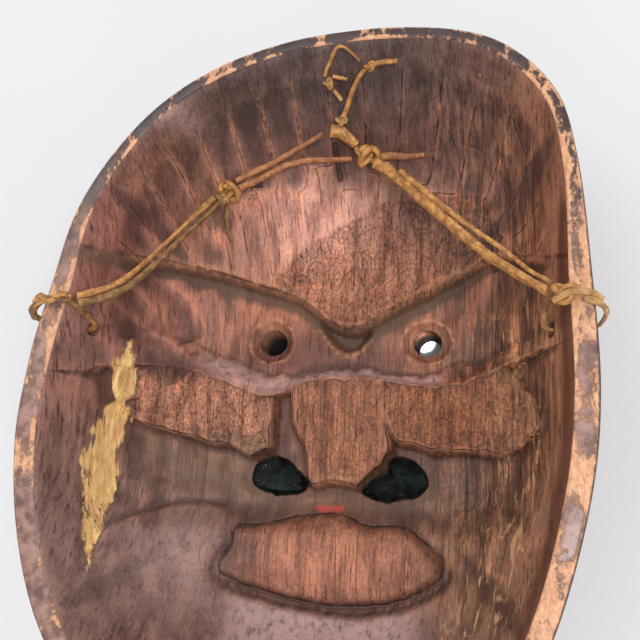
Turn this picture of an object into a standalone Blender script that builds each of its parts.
"""A carved wooden face mask lying face down, with a knotted leather tie across its hollow back.

The frame: +Z up, the rim level at RIM_Z, the hollow facing up, the forehead towards +Y, and the origin
on the floor under the middle of the mask. The working unit is the millimetre until a mesh is written.
"""

import math

import bmesh
import bpy
import numpy as np

MM = 0.001

# Driving dimensions of the carving, in millimetres.
RIM_Z = 86.0
RIM_WIDTH_SIDE = 8.0
RIM_WIDTH_TOP = 4.5
HOLLOW_DEPTH = 52.0
HOLLOW_RUN_SIDE = 36.0
HOLLOW_RUN_TOP = 74.0
HOLLOW_RUN_CHIN = 50.0
FRONT_DEPTH = 69.0
FRONT_RUN = 40.0
MID_X = 7.0
EYE_SPREAD = 32.0
EYE_Y = 26.0
EYE_HOLE_R = 4.6
NOSTRIL_Y = -30.0
THONG_HOLE_R = 2.5
THONG_HOLE_DROP = 16.5
GRID = 38

# The rim's outer edge, anticlockwise from the forehead's right shoulder.
OUTLINE = [
    (66, 124.5), (34, 131), (-5, 128.5), (-38, 117.5), (-64, 98), (-84, 68), (-92.5, 36), (-98, 8),
    (-100, -22), (-95, -54), (-84, -82), (-65, -107), (-37, -125), (0, -131), (37, -125.5),
    (67, -106), (84, -77), (96, -36), (100, 0), (98, 42), (94.5, 79), (87, 105),
]

# The step at the lower edge of the forehead, and the ridge under the eyes, each read from left to right.
BROW_LINE = [
    (-98, 38), (-77, 47), (-56, 53), (-34, 49), (-10, 41), (8, 26), (24, 33), (46, 48), (62, 57), (84, 48),
]
RIDGE_LINE = [(-84, 18), (-57, 19), (-42, 14), (-25, 5), (-2, 9), (17, 11), (32, 8), (48, 12), (84, 14)]

# The hollow's carving: depths of the trough and walls, then raised blocks and sunk pockets, each as
# height, middle, half size and, where they differ from a plain oval, sloping share and squareness.
BOWL_CURVE = 2.1
TROUGH_DEPTH = 9.0
BROW_WALL = 5.0
RIDGE_SLOPE = 6.0
CARVING_FADE = 16.0
BROW_POCKET = (4.0, (8, 20), (9, 8))
EYE_FUNNEL = (4.0, (8, 7))
RAISED_BLOCKS = {
    "left cheek": (4.0, (-48, 1), (36, 17)),
    "right cheek": (5.0, (57, -2), (30, 19)),
    "nose": (6.0, (7, -13), (21, 24), 0.3, 4.0),
}
SUNK_POCKETS = {
    "left nose groove": (5.0, (-17, -8), (5, 15)),
    "right nose groove": (5.0, (28, -6), (5, 14)),
    "left cheek hollow": (8.0, (-46, -28), (34, 15)),
    "right cheek hollow": (7.0, (56, -30), (30, 16)),
    "shelf under the nose": (4.0, (6, -35), (44, 9)),
}
MOUTH_BLOCK = (9.0, (5, -61), (44, 16), 0.25, 3.0)

# The face's swellings, each as height, middle and half size against the face's middle line. A swelling of
# both sides also has its lean. A negative height is a dip.
DOME_CURVE = 2.6
FACE_FADE = 30.0
FACE_MIDDLE = {
    "forehead": (8.0, (0, 72), (62, 40)),
    "upper lip": (11.0, (0, -54), (25, 6)),
    "lower lip": (12.0, (0, -66), (20, 6)),
    "chin": (19.0, (0, -96), (32, 17)),
}
FACE_SIDES = {
    "brow": (15.0, (30, 52), (23, 9), 0.10),
    "eye socket": (-4.0, (31, 28), (18, 12), 0.0),
    "eyelid": (6.0, (32, 26), (12, 7), 0.0),
    "cheek": (9.0, (46, -14), (22, 20), 0.0),
    "nostril": (8.0, (13, -24), (8, 9), 0.0),
}
NOSE_ROOT = 5.0
NOSE_TIP = 22.0
NOSE_LOW = -33.0
NOSE_HALF = 11.0

# The tie turns about a line along X through its two rim loops, and the string about one through its knot.
TIE_AXIS = (0.0, 29.5, RIM_Z + 1.5)
STRING_AXIS = (9.4, 105.4, RIM_Z - 21.6)


def smooth(t):
    """0 below 0 and 1 above 1, with an even rise between."""
    t = np.clip(t, 0.0, 1.0)
    return t * t * (3.0 - 2.0 * t)


def closed_curve(points, steps=24):
    """A smooth closed curve through the points."""
    p = np.array(points, float)
    before, after, next_after = np.roll(p, 1, 0), np.roll(p, -1, 0), np.roll(p, -2, 0)
    t = np.linspace(0.0, 1.0, steps, endpoint=False)[None, :, None]
    a, b, c, d = before[:, None], p[:, None], after[:, None], next_after[:, None]
    curve = b + 0.5 * t * (c - a + t * (2 * a - 5 * b + 4 * c - d + t * (3 * (b - c) + d - a)))
    return curve.reshape(-1, 2)


def edge_radius(angle):
    """The distance from the middle of the mask to the rim's outer edge, at each angle."""
    curve = closed_curve(OUTLINE)
    angles = np.arctan2(curve[:, 1], curve[:, 0])
    order = np.argsort(angles)
    return np.interp(angle, angles[order], np.hypot(curve[:, 0], curve[:, 1])[order], period=2 * math.pi)


def rim_width(angle):
    top = smooth(np.sin(angle) * 1.6 - 0.5)
    return RIM_WIDTH_SIDE + (RIM_WIDTH_TOP - RIM_WIDTH_SIDE) * top


def line_at(points, x):
    """The height of a line drawn through the points, with rounded bends."""
    xs, ys = np.array(points, float).T
    slopes = np.gradient(ys, xs)
    i = np.clip(np.searchsorted(xs, x) - 1, 0, len(xs) - 2)
    width = xs[i + 1] - xs[i]
    t = np.clip((x - xs[i]) / width, 0.0, 1.0)
    rise = t * t * (3 - 2 * t)
    start = (t - 2 * t * t + t ** 3) * slopes[i] * width
    end = (t ** 3 - t * t) * slopes[i + 1] * width
    return ys[i] * (1 - rise) + ys[i + 1] * rise + start + end


def mound(x, y, middle, half, edge=0.5, power=2.0):
    """A flat-topped oval: 1 on top, falling to 0 over its outer part."""
    reach = np.abs((x - middle[0]) / half[0]) ** power + np.abs((y - middle[1]) / half[1]) ** power
    return smooth((1.0 - reach ** (1.0 / power)) / edge)


def hump(x, y, middle, half):
    return np.exp(-((x - middle[0]) / half[0]) ** 2 - ((y - middle[1]) / half[1]) ** 2)


def hollow_z(x, y, inward, angle):
    """The height of the hollow against the rim, from the place and its distance in from the rim."""
    up = np.clip(np.sin(angle), 0, 1) ** 2
    down = np.clip(-np.sin(angle), 0, 1) ** 2
    run = HOLLOW_RUN_SIDE * (1 - up - down) + HOLLOW_RUN_TOP * up + HOLLOW_RUN_CHIN * down
    bowl = -HOLLOW_DEPTH * (1 - (1 - np.clip(inward / run, 0, 1)) ** BOWL_CURVE)
    under_brow = smooth((line_at(BROW_LINE, x) - y) / BROW_WALL + 0.5)
    under_ridge = smooth((line_at(RIDGE_LINE, x) - y) / RIDGE_SLOPE + 0.5)
    carved = -TROUGH_DEPTH * under_brow * (1 - under_ridge)
    carved -= BROW_POCKET[0] * hump(x, y, *BROW_POCKET[1:]) * under_brow
    carved += sum(block[0] * mound(x, y, *block[1:]) for block in RAISED_BLOCKS.values()) * under_ridge
    carved -= sum(pit[0] * mound(x, y, *pit[1:]) for pit in SUNK_POCKETS.values())
    carved += MOUTH_BLOCK[0] * mound(x, y, *MOUTH_BLOCK[1:])
    for side in (-1, 1):
        carved -= EYE_FUNNEL[0] * hump(x, y, (MID_X + 2 + side * EYE_SPREAD, EYE_Y), EYE_FUNNEL[1])
    return bowl + carved * smooth(inward / CARVING_FADE)


def front_z(x, y, inward):
    """The height of the face, which looks down, against the rim."""
    dome = -FRONT_DEPTH * (1 - (1 - np.clip(inward / FRONT_RUN, 0, 1)) ** DOME_CURVE)
    across = x - MID_X
    face = -sum(swell[0] * hump(across, y, *swell[1:]) for swell in FACE_MIDDLE.values())
    for side in (-1, 1):
        out = across * side
        face -= sum(swell[0] * hump(out, y + swell[3] * out, *swell[1:3]) for swell in FACE_SIDES.values())
    bridge = NOSE_ROOT + (NOSE_TIP - NOSE_ROOT) * smooth((42 - y) / 60.0)
    ends = smooth((y - NOSE_LOW) / 7.0) * smooth((50 - y) / 16.0)
    face -= bridge * hump(across, 0, (0, 0), (NOSE_HALF, 1)) * ends
    height = dome + face * smooth(inward / FACE_FADE)
    return np.maximum(height, -RIM_Z)


def disc_grid(count):
    """Square-grid rows and columns spread over a unit disc, as radius and angle."""
    u, v = np.meshgrid(np.linspace(-1, 1, count + 1), np.linspace(-1, 1, count + 1), indexing="ij")
    wide = np.abs(u) >= np.abs(v)
    radius = np.where(wide, u, v)
    safe = np.where(radius == 0, 1.0, radius)
    angle = np.where(wide, v / safe, 2.0 - u / safe) * math.pi / 4
    return np.abs(radius), np.where(radius < 0, angle + math.pi, angle)


def border(count):
    """The grid's edge corners in order, anticlockwise."""
    last = range(count)
    return (
        [(count, j) for j in last] + [(count - i, count) for i in last]
        + [(0, count - j) for j in last] + [(i, 0) for i in last]
    )


def new_object(name, data, material, parent=None):
    obj = bpy.data.objects.new(name, data)
    bpy.context.collection.objects.link(obj)
    data.materials.append(material)
    obj.parent = parent
    return obj


def finish(name, bm, material, parent=None, sharp=40):
    """Turns a bmesh in millimetres into an object in metres, with its faces pointing out."""
    bmesh.ops.recalc_face_normals(bm, faces=bm.faces)
    bmesh.ops.scale(bm, vec=(MM, MM, MM), verts=bm.verts)
    mesh = bpy.data.meshes.new(name)
    bm.to_mesh(mesh)
    bm.free()
    mesh.shade_smooth()
    mesh.set_sharp_from_angle(angle=math.radians(sharp))
    return new_object(name, mesh, material, parent)


def make_material(name, color, roughness):
    material = bpy.data.materials.new(name)
    material.use_nodes = True
    shader = material.node_tree.nodes["Principled BSDF"]
    shader.inputs["Base Color"].default_value = (*color, 1.0)
    shader.inputs["Roughness"].default_value = roughness
    shader.inputs["Metallic"].default_value = 0.0
    return material


def cutter(name, rings):
    """A closed body lofted through oval rings, each (middle, half width, half height, direction)."""
    sides = 20
    bm = bmesh.new()
    loops = []
    for (x, y, z), rx, ry, across in rings:
        loop = []
        for k in range(sides):
            a = 2 * math.pi * k / sides
            if across:
                loop.append(bm.verts.new((x, y + rx * math.cos(a), z + ry * math.sin(a))))
            else:
                loop.append(bm.verts.new((x + rx * math.cos(a), y + ry * math.sin(a), z)))
        loops.append(loop)
    for low, high in zip(loops, loops[1:]):
        for k in range(sides):
            j = (k + 1) % sides
            bm.faces.new((low[k], low[j], high[j], high[k]))
    bm.faces.new(loops[0])
    bm.faces.new(loops[-1])
    obj = finish(name, bm, bpy.data.materials["carved_wood"])
    obj.hide_render = True
    obj.display_type = "WIRE"
    return obj


def cut(target, tool):
    modifier = target.modifiers.new(tool.name, "BOOLEAN")
    modifier.operation = "DIFFERENCE"
    modifier.object = tool


def make_shell(material):
    radius, angle = disc_grid(GRID)
    edge = edge_radius(angle)
    inner = edge - rim_width(angle)
    bm = bmesh.new()
    sheets = []
    for reach, depth in ((inner, hollow_z), (edge, front_z)):
        x, y = radius * reach * np.cos(angle), radius * reach * np.sin(angle)
        inward = (1 - radius) * reach
        z = depth(x, y, inward, angle) if depth is hollow_z else depth(x, y, inward)
        sheets.append([[bm.verts.new((x[i, j], y[i, j], RIM_Z + z[i, j])) for j in range(GRID + 1)]
                       for i in range(GRID + 1)])
    for sheet in sheets:
        for i in range(GRID):
            for j in range(GRID):
                bm.faces.new((sheet[i][j], sheet[i + 1][j], sheet[i + 1][j + 1], sheet[i][j + 1]))
    hollow, front = sheets
    corners = border(GRID)
    for (i, j), (k, m) in zip(corners, corners[1:] + corners[:1]):
        bm.faces.new((hollow[i][j], hollow[k][m], front[k][m], front[i][j]))
    shell = finish("mask_shell", bm, material)
    top = RIM_Z + 20
    for side, name in ((-1, "left"), (1, "right")):
        x = MID_X + 2 + side * EYE_SPREAD
        cut(shell, cutter(f"{name}_eye_cutter", [
            ((x, EYE_Y, -20), 6.5, 5.5, False),
            ((x, EYE_Y, RIM_Z - 66), 5.4, EYE_HOLE_R, False),
            ((x, EYE_Y, top), 5.4, EYE_HOLE_R, False),
        ]))
        inside_x = MID_X + side * 22
        front_x = MID_X + side * 12
        cut(shell, cutter(f"{name}_nostril_cutter", [
            ((front_x, NOSTRIL_Y - 5, -20), 4.0, 3.5, False),
            ((front_x, NOSTRIL_Y - 5, 14), 5.5, 4.0, False),
            ((inside_x, NOSTRIL_Y, RIM_Z - 50), 13.0, 8.5, False),
            ((inside_x, NOSTRIL_Y, top), 13.5, 9.0, False),
        ]))
        cut(shell, cutter(f"{name}_thong_hole_cutter", [
            ((side * 70, 22, RIM_Z - THONG_HOLE_DROP), THONG_HOLE_R, THONG_HOLE_R, True),
            ((side * 110, 22, RIM_Z - THONG_HOLE_DROP), THONG_HOLE_R, THONG_HOLE_R, True),
        ]))
    return shell


def smooth_route(points, step):
    """Evenly spaced points on a smooth curve through the route's own points."""
    p = np.array([2 * np.array(points[0]) - points[1], *points, 2 * np.array(points[-1]) - points[-2]], float)
    t = np.linspace(0.0, 1.0, 16, endpoint=False)[:, None]
    pieces = []
    for a, b, c, d in zip(p, p[1:], p[2:], p[3:]):
        pieces.append(b + 0.5 * t * (c - a + t * (2 * a - 5 * b + 4 * c - d + t * (3 * (b - c) + d - a))))
    curve = np.concatenate([*pieces, p[-2:-1]])
    run = np.concatenate([[0.0], np.cumsum(np.linalg.norm(np.diff(curve, axis=0), axis=1))])
    even = np.linspace(0.0, run[-1], max(3, round(run[-1] / step) + 1))
    return np.stack([np.interp(even, run, curve[:, k]) for k in range(3)], axis=1)


def make_thong(name, width, points, material, parent):
    """A leather strand as a round tube. Its points are heights against the rim."""
    route = smooth_route(points, 2.0 * width) + (0, 0, RIM_Z)
    base = np.array(parent.location) / MM if parent else np.zeros(3)
    data = bpy.data.curves.new(name, "CURVE")
    data.dimensions = "3D"
    data.bevel_depth = width / 2 * MM
    data.bevel_resolution = 2
    data.use_fill_caps = True
    spline = data.splines.new("POLY")
    spline.points.add(len(route) - 1)
    for point, place in zip(spline.points, route - base):
        point.co = (*(place * MM), 1.0)
    return new_object(name, data, material, parent)


def make_knot(name, middle, half, turn, material, parent):
    """A tied knot as a plain lump of its outer size, turned about Z by some degrees."""
    base = np.array(parent.location) / MM if parent else np.zeros(3)
    bm = bmesh.new()
    bmesh.ops.create_uvsphere(bm, u_segments=14, v_segments=8, radius=1.0)
    a = math.radians(turn)
    for vert in bm.verts:
        x, y, z = (value * size for value, size in zip(vert.co, half))
        place = (x * math.cos(a) - y * math.sin(a), x * math.sin(a) + y * math.cos(a), z)
        vert.co = [w + m - b + r for w, m, b, r in zip(place, middle, base, (0, 0, RIM_Z))]
    return finish(name, bm, material, parent, sharp=80)


# Strands by the body that they belong to: name, width, route against the rim.
RIM_LOOPS = [
    ("left_rim_loop", 2.2, [
        (-80.8, 25.6, -7), (-80.2, 23, -13.5), (-82.8, 22, -16.4), (-88, 22, -16.5), (-93, 22, -16.4),
        (-96.8, 22.4, -12.6), (-98.2, 23.6, -5.5), (-98.2, 25, 0.4), (-94.6, 27.2, 3.3), (-88.5, 29.4, 2.9),
        (-83, 30.2, 1.0),
    ]),
    ("right_rim_loop", 2.2, [
        (83.8, 26, -7), (83.4, 23, -13.5), (86, 22, -16.4), (91, 22, -16.5), (96.6, 22, -16.4),
        (100.8, 22.4, -12.6), (102.2, 23.6, -5.5), (102.2, 25, 0.4), (99, 27, 3.3), (95.4, 28.4, 3.2),
    ]),
]
TIE_STRANDS = [
    ("left_upper_strand", 2.0, [
        (-80.5, 30.6, 1.6), (-73, 33.5, -2), (-66.5, 39, -7), (-60.8, 48, -13), (-54.5, 58, -18), (-47, 69, -23),
        (-41.5, 77, -26.6),
    ]),
    ("left_lower_strand", 2.8, [
        (-80, 27.9, 1.0), (-71.5, 31, -3), (-64.5, 37, -8.2), (-58.5, 46.5, -14.5), (-52, 57, -19.6),
        (-44.5, 68, -24.6), (-39.6, 75.3, -27.8),
    ]),
    ("left_knot_tail", 2.8, [(-37.8, 75.4, -32.6), (-38.5, 71, -34.4), (-38, 66, -37), (-36, 63, -38.8)]),
    ("left_dark_stub", 2.2, [(-32.4, 83.2, -30.6), (-28, 84, -31.6), (-23.5, 84.6, -32.6)]),
    ("bridge_upper_strand", 1.9, [
        (-33, 84.6, -27.6), (-26.5, 87.8, -27.6), (-19, 91, -27.4), (-8, 96.5, -26), (2.2, 101.4, -24),
    ]),
    ("bridge_lower_strand", 2.4, [
        (-31.5, 81.6, -28.2), (-23, 86, -29.4), (-13.5, 91, -29.6), (-5, 93.2, -30.4), (4, 93.4, -31),
        (12.6, 93.6, -31.2),
    ]),
    ("apex_strap", 4.0, [(5, 102.2, -23.6), (8.6, 101.6, -24.4), (11.5, 99.6, -26.4), (13.8, 98, -28.4)]),
    ("apex_dark_stub", 2.0, [(5.8, 99.4, -28.4), (6.0, 97.2, -31.2), (6.4, 93, -34.8), (7.2, 87.4, -38.4)]),
    ("centre_knot_tail", 2.8, [(23.6, 94.8, -32.4), (28, 94.8, -33), (34, 94.6, -33.8), (40.5, 95, -33.8)]),
    ("right_wide_strap", 3.8, [
        (21.8, 91, -29.4), (28, 86, -26.6), (36, 77.5, -23.2), (47, 65, -17.5), (56.5, 54.6, -12), (66, 44.8, -7),
        (75.5, 37, -2.6), (83.6, 31, 0.8),
    ]),
    ("right_narrow_strand", 2.2, [
        (32.5, 84.6, -23.2), (41.5, 75, -18.9), (52, 64, -13.6), (61.5, 54.6, -8.2), (70.5, 46.6, -4.2),
        (78.5, 38.5, -0.6), (84.6, 34, 2.2),
    ]),
]
HANGING_STRANDS = [
    ("string_stem", 1.8, [(10.6, 107.2, -20.6), (12, 109, -18.4), (14.6, 113, -14), (17.9, 117, -9.8),
                          (20.3, 118.4, -7.6)]),
    ("string_end", 1.8, [(24.2, 119.4, -5.6), (28, 119.8, -5.2), (32.4, 119.8, -5)]),
    ("string_branch", 1.5, [(10.4, 110.8, -15.4), (9, 112.4, -13.6), (7.8, 113.4, -12)]),
    ("string_loop", 1.5, [(5.2, 116.8, -7.6), (6.2, 118.6, -5.4), (8.4, 121, -2.6), (11, 123.4, 0.6),
                          (13.6, 123.4, 0.8), (16.2, 122, -1.4), (18.6, 120.4, -4)]),
    ("string_side_tail", 1.3, [(8, 117, -8.4), (10.4, 116.6, -9), (13.2, 116.2, -9.8)]),
]

# Knots: name, middle against the rim, half sizes, turn.
ROOT_KNOTS = [("right_rim_knot", (89.4, 30.2, 3.0), (4.6, 3.2, 2.6), -10)]
TIE_KNOTS = [
    ("left_knot", (-36.6, 80.2, -29.2), (4.2, 5.0, 2.9), -40),
    ("centre_knot", (18.3, 94.6, -30.6), (4.8, 3.6, 2.9), -20),
]
HANGING_KNOTS = [
    ("string_base_knot", (9.4, 105.4, -21.6), (1.9, 1.9, 1.7), 0),
    ("string_end_knot", (22.3, 119, -6.4), (1.6, 1.4, 1.4), 0),
    ("string_branch_knot", (6.3, 115, -9.8), (1.3, 1.7, 1.3), 30),
]


def joint_empty(name, place, parent=None):
    empty = bpy.data.objects.new(name, None)
    bpy.context.collection.objects.link(empty)
    empty.location = [value * MM for value in place]
    empty.parent = parent
    return empty


def main():
    for obj in list(bpy.data.objects):
        bpy.data.objects.remove(obj)
    wood = make_material("carved_wood", (0.16, 0.07, 0.045), 0.55)
    rawhide = make_material("rawhide", (0.46, 0.25, 0.09), 0.6)
    dark_hide = make_material("dark_rawhide", (0.06, 0.03, 0.02), 0.7)
    make_shell(wood)
    tie = joint_empty("tie_axis", TIE_AXIS)
    string = joint_empty("string_axis", STRING_AXIS)
    for parent, strands, knots in (
        (None, RIM_LOOPS, ROOT_KNOTS),
        (tie, TIE_STRANDS, TIE_KNOTS),
        (string, HANGING_STRANDS, HANGING_KNOTS),
    ):
        for name, width, points in strands:
            make_thong(name, width, points, dark_hide if "dark" in name else rawhide, parent)
        for name, middle, half, turn in knots:
            make_knot(name, middle, half, turn, rawhide, parent)


main()
